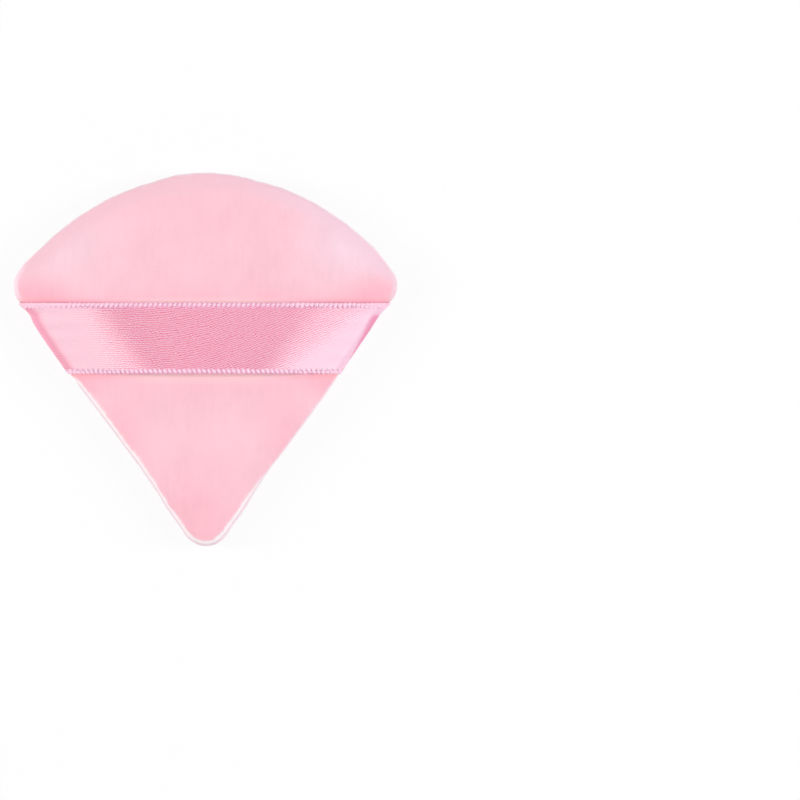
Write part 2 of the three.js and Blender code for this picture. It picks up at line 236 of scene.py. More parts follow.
# How the sewn cover departs from its pattern
hand = {
    # in millimetres, round the outline from the tip, and how far out the edge lies there;
    # the dips are where the tight ribbon draws it in
    "rightEdge": ((0, 0.0), (7, -0.02), (12, 0.15), (18, -0.12), (22, -0.08), (27, 0.2), (33, 0.35),
                  (39, 0.6), (45, 0.53), (48, 0.12), (53, 0.0), (58, -0.2), (61, -0.42),
                  (62.8, -0.6), (64.2, -0.35), (66, 0.08), (69, 0.0), (72, 0.3), (78, 0.35),
                  (84, -0.08), (88, -0.25), (99, -0.3), (108, -0.42), (112, -0.05), (118, 0.05)),
    "leftEdge": ((0, 0.0), (3, -0.12), (7, -0.08), (12, 0.18), (18, 0.0), (22, 0.02), (27, 0.22),
                 (30, 0.4), (39, 0.65), (45, 0.75), (48, 0.65), (54, 0.55), (58, 0.38), (60.5, 0.2),
                 (62.8, -0.5), (64.2, 0.0), (66, 0.3), (69, 0.0), (72, 0.35), (75, 0.15),
                 (78, -0.28), (81, -0.55), (84, -0.55), (93, -0.78), (102, -0.68), (108, -0.5),
                 (112, -0.1), (118, 0.05)),
    "edgeEasing": 0.8 * mm,               # rounds off the steps between those
    "edgeFade": (0.5 * mm, 7 * mm),       # insets between which they fade
    "ribbonSink": 0.24 * mm,              # the ribbon lies that much closer than its solid
    "backSetIn": 0.5 * mm,                # the back's fold behind the face's, lower left and tip
    "backSetFade": 2 * mm,
    "tipLow": -31 * mm,                   # heights over which that ends on the right side
    "tipHigh": -22 * mm,
    # times round the edge, size and phase
    "waves": ((13, 0.035 * mm, 0.4), (31, 0.025 * mm, 2.2)),
    "puckers": (62, 0.035 * mm, 0.8),
    "waveFade": (0, 9 * mm),
    "puckerFade": (0.3 * mm, 2.4 * mm),
    "crownUneven": 0.10 * mm,
    "crownFade": (1 * mm, 7 * mm),
    "flatFrom": 0.2,                      # of the way in, on the powder side
}
edgeRuns = np.array([run * mm for run, _ in hand["rightEdge"]]
                    + [2 * halfRound - run * mm for run, _ in hand["leftEdge"][::-1]])
edgeShifts = np.array([shift * mm for _, shift in hand["rightEdge"] + hand["leftEdge"][::-1]])


# How far out the sewn edge lies at a distance round the outline
def edgeShift(run):
    return sum(np.interp((run + step * hand["edgeEasing"]) % (2 * halfRound), edgeRuns, edgeShifts)
               for step in (-1, 0, 1)) / 3


def edgeFade(inset):
    return 1 - smoothStep(inset, *hand["edgeFade"])


# How far the back panel's fold lies behind the face panel's, along the lower left side and the tip
def setBack(place):
    below = smoothStep(-place[:, 1], -ribbonLowY, -ribbonLowY + hand["backSetFade"])
    away = smoothStep(place[:, 1], hand["tipLow"], hand["tipHigh"]) * (place[:, 0] > 0)
    return hand["backSetIn"] * below * (1 - away)


# Low waves over the faces, crossed so that they don't look regular
def unevenness(x, y):
    waves = (np.sin(x * 310 + y * 150 + 0.7) * np.cos(y * 270 - x * 90 + 1.9)
             + 0.5 * np.sin(x * 720 - y * 410 + 2.6) * np.sin(y * 640 + x * 230 + 0.3))
    return hand["crownUneven"] * waves


# A ring of the pad: quarters round the outline, its inset from there or its share of the way in
# from the shoulder, and its rise from the seam
def padRing(quarters, face, rise, inset=None, inward=None, crowned=True, closing=0.0):
    place, normal, run = outlineAt(quarters)
    reach = ((place - heart) * normal).sum(1)
    share = inset / reach if inward is None else mix(pad["shoulderReach"] / reach, 1, inward)
    flat = place + (heart - place) * share[:, None]
    depth = share * reach
    closed = seamClosure(place)
    left = 1 - np.minimum(1, share / face["flatShare"])
    swell = face["crown"] * (1 - left ** 2) if crowned else 0
    height = rise + swell - closing * (pad["openHalfGap"] - pad["closedHalfGap"]) * closed
    drawn = -edgeShift(run) * edgeFade(depth)
    if face["up"] > 0:
        drawn = drawn + setBack(place) * edgeFade(depth)
    turn = run / outlineRun[-1] * 2 * math.pi
    nearEdge = 1 - smoothStep(depth, *hand["waveFade"])
    for count, size, phase in hand["waves"]:
        drawn = drawn + size * nearEdge * np.sin(count * turn + phase * (1 + face["up"] / 5))
    count, size, phase = hand["puckers"]
    nearFold = 1 - smoothStep(depth, *hand["puckerFade"])
    drawn = drawn + size * nearFold * np.sin(count * turn + phase) * (1 - closed / 3)
    flat = flat - normal * drawn[:, None]
    if crowned:
        uneven = unevenness(*flat.T) * smoothStep(depth, *hand["crownFade"])
        if face["up"] < 0:
            uneven = uneven * (1 - smoothStep(share, hand["flatFrom"], face["flatShare"]))
        height = height + uneven
    if face["up"] < 0:
        height = np.minimum(height, seamZ)
    return np.column_stack((flat, seamZ + face["up"] * height))


def foldSection(angle, lift=0):
    radius = pad["foldRadius"]
    return {"inset": radius - (radius + lift) * math.sin(angle),
            "rise": pad["openHalfGap"] + radius - (radius + lift) * math.cos(angle),
            "crowned": False, "closing": math.cos(angle)}


def shoulderSection(angle, lift=0):
    return {"inset": pad["shoulderReach"] - (pad["shoulderReach"] + lift) * math.cos(angle),
            "rise": pad["openHalfGap"] + pad["foldRadius"]
            + (pad["shoulderRise"] + lift) * math.sin(angle)}


# A square of cells in the middle, whose rings run parallel to the outline, with plain bands
# round it; gives the points, the faces and the last ring
def padSurface(face, cells, lift, bands):
    across, size = 2 * cells + 1, 8 * cells
    a, b = (part.ravel() for part in np.mgrid[-cells:cells + 1, -cells:cells + 1])
    ring = np.maximum(np.abs(a), np.abs(b))
    half = np.maximum(ring, 1)
    quarters = np.select(
        [(b == -ring) & (a < ring), (a == ring) & (b < ring), (b == ring) & (a > -ring)],
        [(a + ring) / (2 * half), 1 + (b + ring) / (2 * half), 2 + (ring - a) / (2 * half)],
        3 + (ring - b) / (2 * half))
    points = [padRing(quarters, face, padRise + lift, inward=1 - ring / cells)]
    faces = gridFaces(across, across)
    at = lambda i, j: (i + cells) * across + (j + cells)
    steps = range(-cells, cells)
    inner = ([at(i, -cells) for i in steps] + [at(cells, j) for j in steps]
             + [at(-i, cells) for i in steps] + [at(-cells, -j) for j in steps])
    count = across ** 2
    for band in bands:
        points.append(padRing(np.arange(size) / (2 * cells), face, **band))
        outer = list(range(count, count + size))
        faces += ringFaces(inner, outer)
        inner = outer
        count += size
    if face["up"] < 0:
        faces = [each[::-1] for each in faces]
    return np.concatenate(points), faces, inner


# Velour panels
panel = {
    "cells": 32,             # of the middle square, from its centre to its border
    "shoulderBands": 9,
    "foldBands": 5,
    "plyBands": 3,
    "simScale": 10,          # the cloth settles best at about a metre
    "simFrames": 20,
    "heldShoulder": 4,       # bands of the shoulder that the sewn edge holds still
    "moveCap": 0.25 * mm,    # the fabric's movement is eased to that, to keep the outline
    "cloth": {"quality": 6, "mass": 0.25, "tension_stiffness": 18, "compression_stiffness": 18,
              "shear_stiffness": 8, "bending_stiffness": 1.5, "use_pressure": True,
              "uniform_pressure_force": 2.5, "shrink_min": -0.01},
}


def panelBands():
    quarter = math.pi / 2
    shoulder = [shoulderSection(quarter * (1 - t)) for t in stepsUpTo(panel["shoulderBands"])]
    fold = [foldSection(quarter * (1 - t)) for t in stepsUpTo(panel["foldBands"])]
    ply = [{"inset": mix(pad["foldRadius"], pad["rawEdgeInset"], t), "rise": pad["openHalfGap"],
            "crowned": False, "closing": 1.0} for t in stepsUpTo(panel["plyBands"])]
    return shoulder + fold + ply


# Lets the sewn fabric settle over the sponge, held from one point on to its raw edge
def settleCloth(name, points, faces, heldFrom):
    cloth = pieceFrom(name + "Settling", points * panel["simScale"], faces)
    held = cloth.vertex_groups.new(name="held")
    held.add(list(range(heldFrom, len(points))), 1.0, "REPLACE")
    makeActive(cloth)
    settings = cloth.modifiers.new("cloth", "CLOTH").settings
    for setting, value in panel["cloth"].items():
        setattr(settings, setting, value)
    settings.vertex_group_mass = "held"
    settings.effector_weights.gravity = 0
    for step in range(1, panel["simFrames"] + 1):
        bpy.context.scene.frame_set(step)
    settled = cloth.evaluated_get(bpy.context.evaluated_depsgraph_get())
    moved = np.zeros(len(points) * 3)
    settled.data.vertices.foreach_get("co", moved)
    shift = moved.reshape(-1, 3) / panel["simScale"] - points
    far = np.maximum(np.linalg.norm(shift, axis=1), 1e-9)
    eased = panel["moveCap"] * np.tanh(far / panel["moveCap"])
    bpy.data.objects.remove(cloth)
    bpy.context.scene.frame_set(1)
    print(name, "settled by up to", round(eased.max() / mm, 2), "mm")
    return points + shift * (eased / far)[:, None]


def makePanel(name, face):
    points, faces, _ = padSurface(face, panel["cells"], 0, panelBands())
    heldBands = panel["heldShoulder"] + panel["foldBands"] + panel["plyBands"]
    heldFrom = len(points) - 8 * panel["cells"] * heldBands
    points = settleCloth(name, points, faces, heldFrom)
    if face["up"] < 0:
        points[:, 2] = np.maximum(points[:, 2], 0)
    piece = pieceFrom(name, points, faces)
    addFiner(piece)
    addWall(piece, pad["velourThickness"], -1)
    return finishMesh(piece, 180)


backVelour = makePanel("back_velour", strapFace)
faceVelour = makePanel("face_velour", powderFace)
print("velour panels made")


# Sponge core
core = {"cells": 22, "edgeRadius": 0.8 * mm, "rimBands": 5, "wallBands": 4}


def makeCore():
    lift = -pad["velourThickness"] - pad["clearance"]
    cutInset = pad["rawEdgeInset"] + pad["clearance"]
    bands = []
    for k in range(core["rimBands"] + 1):
        angle = math.pi / 2 * (1 - k / core["rimBands"])
        inset = cutInset + core["edgeRadius"] * (1 - math.cos(angle))
        cosine = min(1, max(0, (pad["shoulderReach"] - inset) / (pad["shoulderReach"] + lift)))
        top = shoulderSection(math.acos(cosine), lift)["rise"]
        bands.append({"inset": inset, "rise": top - core["edgeRadius"] * (1 - math.sin(angle))})
    upper, upperFaces, upperRim = padSurface(strapFace, core["cells"], lift, bands)
    lower, lowerFaces, lowerRim = padSurface(powderFace, core["cells"], lift, bands)
    count = len(upper)
    faces = upperFaces + [tuple(i + count for i in each) for each in lowerFaces]
    points = [upper, lower]
    inner, size, total = upperRim, len(upperRim), 2 * count
    for t in stepsUpTo(core["wallBands"])[:-1]:
        points.append(mix(upper[upperRim], lower[lowerRim], t))
        outer = list(range(total, total + size))
        faces += ringFaces(inner, outer)
        inner = outer
        total += size
    faces += ringFaces(inner, [i + count for i in lowerRim])
    piece = pieceFrom("sponge_filling", np.concatenate(points), faces)
    addFiner(piece)
    return finishMesh(piece, 50)


spongeFilling = makeCore()
print("sponge made")


# Ribbon
ribbon = {
    "thickness": 0.35 * mm,
    "tail": 1.6 * mm,             # past the stitch line
    "wrap": math.radians(42),     # how far it hugs the shoulder
    "archStart": 0.38,            # of the half span, the pull of each end of the arch
    "archTop": 0.45,
    "fingerGap": 5 * mm,
    "yarnWidth": 0.9 * mm,
    "yarnThickness": 0.55 * mm,
    "yarnCover": 0.55,            # how much of each yarn row lies beside the web
    "tailSteps": 4,
    "foldSteps": 7,
    "wrapSteps": 5,
    "archSteps": 46,
    "across": 26,
    "ripple": 0.035 * mm,
    "rippleTurn": 1900,           # radians per metre across
    "ripplePhase": 0.6,
    "rippleFade": (20 * mm, 34 * mm),
    "uvPerMetre": 8,
    "uvMiddle": 0.5,
}
rimStation = ribbon["tailSteps"] + ribbon["foldSteps"]


def sideX(y, inset):
    radius = pad["hollowRadius"] + inset
    return hollowCentre[0] - np.sqrt(radius ** 2 - (y - hollowCentre[1]) ** 2)


# Half of the run at heights y, from the tail in the seam over the shoulder to the arch's top
def halfRun(y, lift, side):
    tail = [{"inset": mix(pad["stitchInset"] + ribbon["tail"], pad["foldRadius"],
                          k / ribbon["tailSteps"]),
             "rise": pad["openHalfGap"] - lift, "crowned": False}
            for k in range(ribbon["tailSteps"])]
    fold = [foldSection(math.pi / 2 * k / ribbon["foldSteps"], lift)
            for k in range(ribbon["foldSteps"])]
    wrap = [shoulderSection(ribbon["wrap"] * k / ribbon["wrapSteps"], lift)
            for k in range(ribbon["wrapSteps"] + 1)]
    sideReach = sideNormal[0] * sideX(heart[1], 0)
    points, insets = [], []
    for section in tail + fold + wrap:
        inset, height = section["inset"], seamZ + section["rise"]
        if section.get("crowned", True):
            height += strapFace["crown"] * (1 - (1 - min(1, inset / sideReach)) ** 2)
        points.append(np.stack((sideX(y, inset), y, np.full_like(y, height)), 1))
        insets.append(np.full_like(y, inset))
    slope = (sideNormal[0] * pad["shoulderRise"] * math.cos(ribbon["wrap"])) / (
        pad["shoulderReach"] * math.sin(ribbon["wrap"]))
    x0, z0 = points[-1][:, 0], points[-1][:, 2]
    topZ = np.full_like(x0, seamZ + padRise + strapFace["crown"] + ribbon["fingerGap"]
                        + lift - pad["clearance"])
    pull = ribbon["archStart"] * x0
    knots = np.array(((x0, z0), (x0 - pull, z0 + slope * pull), (ribbon["archTop"] * x0, topZ),
                      (0 * x0, topZ)))
    for t in stepsUpTo(ribbon["archSteps"]):
        weights = ((1 - t) ** 3, 3 * t * (1 - t) ** 2, 3 * t * t * (1 - t), t ** 3)
        x, z = sum(weight * knot for weight, knot in zip(weights, knots))
        points.append(np.stack((x, y, z), 1))
        insets.append(inset + (x0 - x) * sideNormal[0])
    for point, inset in zip(points, insets):
        footRun = np.interp(y + sideNormal[1] * inset, outlinePlaces[rightHalf, 1],
                            outlineRun[rightHalf])
        shift = edgeShift(footRun if side > 0 else 2 * halfRound - footRun) - hand["ribbonSink"]
        point[:, 0] += shift * edgeFade(inset) / sideNormal[0]
    return np.stack(points) * (side, 1, 1)      # station, height, xyz


def fullRun(y, lift):
    left, right = (halfRun(y, lift, side) for side in (-1, 1))
    return np.concatenate((left, right[:-1][::-1]))


def runLengths(run):
    steps = np.linalg.norm(np.diff(run, axis=0), axis=-1)
    lengths = np.concatenate((np.zeros_like(steps[:1]), np.cumsum(steps, axis=0)))
    return lengths - lengths[len(lengths) // 2]


def addAttribute(piece, name, values):
    attribute = piece.data.attributes.new(name, "FLOAT", "POINT")
    attribute.data.foreach_set("value", np.ravel(values).astype(np.float32))


def makeWeb():
    covered = ribbon["yarnWidth"] * ribbon["yarnCover"]
    y = np.linspace(ribbonLowY + covered, ribbonTopY - covered, ribbon["across"] + 1)
    run = fullRun(y, pad["clearance"] + ribbon["thickness"] / 2)
    lengths = runLengths(run)
    endward = smoothStep(np.abs(run[..., 0]), *ribbon["rippleFade"])
    turns = (y - y[0]) * ribbon["rippleTurn"] + ribbon["ripplePhase"]
    run[..., 2] += ribbon["ripple"] * np.sin(turns) * endward
    piece = pieceFrom("ribbon_web", run.reshape(-1, 3), gridFaces(*run.shape[:2]))
    upward = np.broadcast_to((y - ribbonLowY) * ribbon["uvPerMetre"], lengths.shape)
    values = np.stack((ribbon["uvMiddle"] + lengths * ribbon["uvPerMetre"], upward), -1)
    corners = np.zeros(len(piece.data.loops), int)
    piece.data.loops.foreach_get("vertex_index", corners)
    uv = piece.data.uv_layers.new(name="ribbonRun")
    uv.data.foreach_set("uv", values.reshape(-1, 2)[corners].ravel())
    x = run[..., 0]
    addAttribute(piece, "fromRim", np.minimum(x - x[rimStation], x[-1 - rimStation] - x) / mm)
    addWall(piece, ribbon["thickness"], 0)
    addFiner(piece)
    return finishMesh(piece, 60)


ribbonWeb = makeWeb()
print("ribbon web made")


# Overcast edges of the ribbon
overcast = {
    "pitch": 1.03 * mm,
    "width": 0.82 * mm,
    "height": 1.36 * mm,
    "thickness": 0.52 * mm,
    "slant": math.radians(32),    # leaning right on the upper edge, left on the lower one
    "upperShift": -0.07 * mm,     # of each row from its solid's middle
    "lowerShift": 0.15 * mm,
    # towards the rim the stitches flatten into a smooth band, on the left and right of each row
    "upperFade": ((9 * mm, 15 * mm), (3.5 * mm, 9 * mm)),
    "lowerFade": ((1.5 * mm, 6 * mm), (1.5 * mm, 6 * mm)),
    "flattest": 0.58,
    "sizeVaries": 0.11,
    "placeVaries": 0.04 * mm,
    "endCrest": 0.7,              # how light the flattened stitches' lower parts are, with less painted shade
    "fillWidth": 0.92 * mm,
    "fillThickness": 0.22 * mm,
    "fillGrows": 1.5,
    "fillWidens": 1.25,
    "fillCrest": 0.6,
    "lastStitch": 0.8 * mm,       # short of the rim
    "fillSides": 10,
    "segments": 12,
    "rings": 7,
    "seed": 7,
}


def makeStitchShape(slant):
    bpy.ops.mesh.primitive_uv_sphere_add(segments=overcast["segments"],
                                         ring_count=overcast["rings"], radius=0.5)
    stitch = bpy.context.object
    points = np.array([v.co for v in stitch.data.vertices])
    faces = [tuple(p.vertices) for p in stitch.data.polygons]
    bpy.data.objects.remove(stitch)
    # the sphere's poles lie along the stitch
    x, y, z = (points[:, (0, 2, 1)] * (overcast["width"], overcast["height"],
                                       overcast["thickness"])).T
    cosine, sine = math.cos(slant), math.sin(slant)
    return np.stack((x * cosine + y * sine, y * cosine - x * sine, z), 1), faces


def makeOvercast(name, centreY, slant, fade):
    lift = pad["clearance"] + ribbon["yarnThickness"] / 2
    heights = centreY + np.array((-0.5, 0, 0.5)) * mm
    low, run, high = np.moveaxis(fullRun(heights, lift), 1, 0)
    slanting = (high - low) / mm      # across the band, parallel to the pad's side at its ends
    lengths = runLengths(run)
    rimLength = lengths[-1 - rimStation]
    count = int(2 * (rimLength - overcast["lastStitch"]) / overcast["pitch"])
    stitch, stitchFaces = makeStitchShape(slant)
    across = np.array((0, 1, 0))
    random = np.random.default_rng(overcast["seed"])
    points, faces, crest, endings, total = [], [], [], [], 0

    def frameAt(distance):
        behind, at, ahead = readAlong(distance + np.array((-0.2, 0, 0.2)) * mm, lengths, run)
        forward = (ahead - behind) / np.linalg.norm(ahead - behind)
        return at, forward, np.cross(forward, across)

    def fading(distance):
        return 1 - smoothStep(rimLength - abs(distance), *fade[1 if distance > 0 else 0])

    for distance in (np.arange(count) - (count - 1) / 2) * overcast["pitch"]:
        at, forward, up = frameAt(distance)
        size = 1 + random.uniform(-overcast["sizeVaries"], overcast["sizeVaries"], 3)
        ending = fading(distance)
        size[2] *= mix(1, overcast["flattest"], ending)
        local = stitch * size
        at = at + across * random.uniform(-overcast["placeVaries"], overcast["placeVaries"])
        points.append(at + local[:, :1] * forward + local[:, 1:2] * across + local[:, 2:] * up)
        faces += [tuple(i + total for i in each) for each in stitchFaces]
        # the stitch's height, for painted light on its crest and painted shade below
        lifted = np.clip(local[:, 2] / overcast["thickness"] * 2 / size[2], 0, 1)
        crest.append(mix(lifted, mix(overcast["endCrest"], 1, lifted), ending))
        endings.append(np.full(len(local), ending))
        total += len(local)

    # The flat fill under the stitches, one closed tube along the whole run
    sides = overcast["fillSides"]
    turns = np.arange(sides) / sides * 2 * math.pi
    rings = []
    for distance in np.linspace(lengths[0], lengths[-1], count * 2):
        at, _, up = frameAt(distance)
        ending = fading(distance)
        thickness = overcast["fillThickness"] * mix(1, overcast["fillGrows"], ending)
        width = overcast["fillWidth"] * mix(1, overcast["fillWidens"], ending)
        sideways = readAlong(distance, lengths, slanting)
        points.append(at + np.outer(np.cos(turns) * width / 2, sideways)
                      + np.outer(np.sin(turns) * thickness / 2, up))
        crest.append(np.full(sides, overcast["fillCrest"] * ending))
        endings.append(np.full(sides, ending))
        rings.append(list(range(total, total + sides)))
        total += sides
    for behind, ahead in zip(rings, rings[1:]):
        faces += ringFaces(behind, ahead)
    faces += [rings[0], rings[-1][::-1]]
    outwardFaces = [each[::-1] for each in faces]
    piece = pieceFrom(name, np.concatenate(points), outwardFaces)
    addAttribute(piece, "crest", np.concatenate(crest))
    addAttribute(piece, "ending", np.concatenate(endings))
    return finishMesh(piece, 60)


upperY = ribbonTopY - ribbon["yarnWidth"] / 2 + overcast["upperShift"]
lowerY = ribbonLowY + ribbon["yarnWidth"] / 2 + overcast["lowerShift"]
upperOvercast = makeOvercast("upper_overcast", upperY, overcast["slant"], overcast["upperFade"])
lowerOvercast = makeOvercast("lower_overcast", lowerY, -overcast["slant"], overcast["lowerFade"])
print("overcast edges made")


# Sewing threads
sewing = {
    "stitchLength": 2.6 * mm,
    "wave": 0.08 * mm,
    "diameter": 0.4 * mm,
    "stepsPerStitch": 6,
    "ladderDepth": 1.3 * mm,
    "ladderLength": 3.2 * mm,
    "ladderSteps": 8,
    "endDepth": 3 * mm,           # both ends run into the seam
    "resolution": 3,
}


def threadAlong(name, points, radius, closed):
    curve = bpy.data.curves.new(name, "CURVE")
    curve.dimensions = "3D"
    spline = curve.splines.new("POLY")
    spline.points.add(len(points) - 1)
    for spot, place in zip(spline.points, points):
        spot.co = (*place, 1)
    spline.use_cyclic_u = closed
    curve.bevel_depth = radius
    curve.bevel_resolution = sewing["resolution"]
    curve.use_fill_caps = not closed
    makeActive(addObject(name, curve))
    bpy.ops.object.convert(target="MESH")
    return finishMesh(bpy.context.object, 60)


def makeSeamThread(name, face):
    steps = int(outlineRun[-1] / sewing["stitchLength"]) * sewing["stepsPerStitch"]
    quarters = np.interp(np.arange(steps) / steps * outlineRun[-1], quarterRuns, np.arange(5))
    rise = (pad["openHalfGap"] + pad["velourThickness"] + pad["clearance"]
            + sewing["diameter"] / 2 + sewing["wave"])
    line = padRing(quarters, face, rise, inset=pad["stitchInset"], crowned=False, closing=1.0)
    turns = np.arange(steps) / sewing["stepsPerStitch"] * 2 * math.pi
    line[:, 2] += sewing["wave"] * np.cos(turns)
    return threadAlong(name, line, sewing["diameter"] / 2, True)


def makeLadderThread():
    count = round(pad["turningGap"] / sewing["ladderLength"])
    halfAngle = pad["turningGap"] / 2 / bowRadius
    t = np.linspace(0, 1, count * sewing["ladderSteps"] + 1)
    angle = math.pi / 2 + halfAngle * (2 * t - 1)
    inward = sewing["ladderDepth"] * (0.5 - 0.5 * np.cos(t * count * math.pi))
    radius = (bowRadius - pad["foldRadius"] - inward)[:, None]
    line = bowCentre + radius * np.stack((np.cos(angle), np.sin(angle)), 1)
    ends = line[[0, -1]]
    ends = ends - (ends - bowCentre) / bowRadius * sewing["endDepth"]
    line = np.concatenate((ends[:1], line, ends[1:]))
    line = np.column_stack((line, np.full(len(line), seamZ)))
    return threadAlong("ladder_stitch", line, pad["openHalfGap"] - pad["clearance"], False)


needleThread = makeSeamThread("needle_thread", strapFace)
bobbinThread = makeSeamThread("bobbin_thread", powderFace)
ladderThread = makeLadderThread()
print("threads made")


# Materials
def paint(red, green, blue):
    linear = [c / 255 / 12.92 if c <= 10 else ((c / 255 + 0.055) / 1.055) ** 2.4
              for c in (red, green, blue)]
    return (*linear, 1)


# Joins a socket to another one, or sets it to a plain value
def give(socket, value):
    if hasattr(value, "id_data"):
        socket.id_data.links.new(value, socket)
    else:
        socket.default_value = value


def addNode(tree, kind, **values):
    node = tree.nodes.new("ShaderNode" + kind)
    for name, value in values.items():
        if hasattr(node, name):
            setattr(node, name, value)
        else:
            give(node.inputs[name], value)
    return node


# The node tree that some of the values belong to
def treeOf(*values):
    return next(each.id_data for each in values if hasattr(each, "id_data"))


def maths(operation, *values, kind="Math", output=0):
    node = addNode(treeOf(*values), kind, operation=operation)
    for socket, value in zip(node.inputs, values):
        give(socket, value)
    return node.outputs[output]


def times(result, *others):
    for other in others:
        result = maths("MULTIPLY", result, other)
    return result


def plus(first, second):
    return maths("ADD", first, second)


def minus(first, second):
    return maths("SUBTRACT", first, second)


def blendColour(share, first, second, blendType="MIX"):
    node = addNode(treeOf(share, first, second), "Mix", data_type="RGBA", blend_type=blendType)
    for place, value in ((0, share), (6, first), (7, second)):
        give(node.inputs[place], value)
    return node.outputs[2]


def rangeOf(value, fromLow, fromHigh, toLow=0.0, toHigh=1.0, smooth=True):
    kind = "SMOOTHSTEP" if smooth else "LINEAR"
    node = addNode(value.id_data, "MapRange", interpolation_type=kind)
    for socket, given in zip(node.inputs, (value, fromLow, fromHigh, toLow, toHigh)):
        give(socket, given)
    return node.outputs["Result"]


def splitAxes(place):
    return addNode(place.id_data, "SeparateXYZ", Vector=place).outputs[:3]


# Gives the material, its shader and the object's own coordinates
def newMaterial(name, **settings):
    material = bpy.data.materials.new(name)
    material.use_nodes = True
    tree = material.node_tree
    shader = tree.nodes["Principled BSDF"]
    for socket, value in settings.items():
        give(shader.inputs[socket.replace("_", " ")], value)
    return material, shader, addNode(tree, "TexCoord").outputs["Object"]


def finishMaterial(shader, colour, height, strength, depth):
    bump = addNode(shader.id_data, "Bump", Strength=strength, Distance=depth, Height=height)
    give(shader.inputs["Base Color"], colour)
    give(shader.inputs["Normal"], bump.outputs[0])


def newGroup(name, output, **inputs):
    group = bpy.data.node_groups.new(name, "ShaderNodeTree")
    for socket, kind in inputs.items():
        group.interface.new_socket(name=socket, in_out="INPUT", socket_type="NodeSocket" + kind)
    group.interface.new_socket(name=output, in_out="OUTPUT", socket_type="NodeSocketFloat")
    return group, group.nodes.new("NodeGroupInput").outputs


def finishGroup(group, result):
    give(group.nodes.new("NodeGroupOutput").inputs[0], result)
    return group


# A soft round patch: 1 at its centre, 0 past its reach
def makeSoftPatch():
    group, given = newGroup("softPatch", "Mask", Position="Vector", Centre="Vector", Reach="Vector")
    away = maths("SUBTRACT", given["Position"], given["Centre"], kind="VectorMath")
    scaled = maths("DIVIDE", away, given["Reach"], kind="VectorMath")
    length = maths("LENGTH", scaled, kind="VectorMath", output="Value")
    return finishGroup(group, rangeOf(length, 0, 1, 1, 0))


# Cloudy variation round 0.5, stretched by its scale along each axis
def makeMottle():
    group, given = newGroup("mottle", "Value", Position="Vector", Scale="Vector", Detail="Float")
    scaled = maths("MULTIPLY", given["Position"], given["Scale"], kind="VectorMath")
    clouds = addNode(group, "TexNoise", Vector=scaled, Scale=1.0, Detail=given["Detail"],
                     Roughness=0.55)
    return finishGroup(group, clouds.outputs[0])


# Needle holes along the ribbon's edges, seen towards its ends: dark dots painted for the shade in
# the holes
needle = {
    "colour": paint(186, 112, 146),
    "pitch": 1.12 * mm,
    "size": 0.28 * mm,
    "seenFrom": (13 * mm, 23 * mm),   # from the middle
    # of the yarn and of the web: inset from the ribbon's edge, the last hole's place, strength
    "yarn": (0.80 * mm, 33 * mm, 0.8),
    "web": (1.02 * mm, 31 * mm, 0.75),
}


def makeNeedleHoles():
    group, given = newGroup("needleHoles", "Mask", Position="Vector", Inset="Float", Reach="Float")
    x, y, _ = splitAxes(given["Position"])
    along = maths("PINGPONG", x, needle["pitch"] / 2)
    inward = minus(halfRibbon, maths("ABSOLUTE", minus(y, ribbonMiddleY)))
    across = minus(inward, given["Inset"])
    away = maths("SQRT", plus(times(along, along), times(across, across)))
    outward = maths("ABSOLUTE", x)
    seen = rangeOf(outward, *needle["seenFrom"])
    last = rangeOf(minus(outward, given["Reach"]), -1 * mm, 1 * mm, 1, 0)
    return finishGroup(group, times(rangeOf(away, 0, needle["size"], 1, 0), seen, last))


softPatch, mottle, needleHoles = makeSoftPatch(), makeMottle(), makeNeedleHoles()


def cloud(place, scale, detail=2.0):
    return addNode(place.id_data, "Group", node_tree=mottle, Position=place, Scale=scale,
                   Detail=detail).outputs[0]


def addHoles(place, colour, row):
    inset, reach, strength = needle[row]
    holes = addNode(place.id_data, "Group", node_tree=needleHoles, Position=place, Inset=inset,
                    Reach=reach)
    return blendColour(times(holes.outputs[0], strength), colour, needle["colour"])


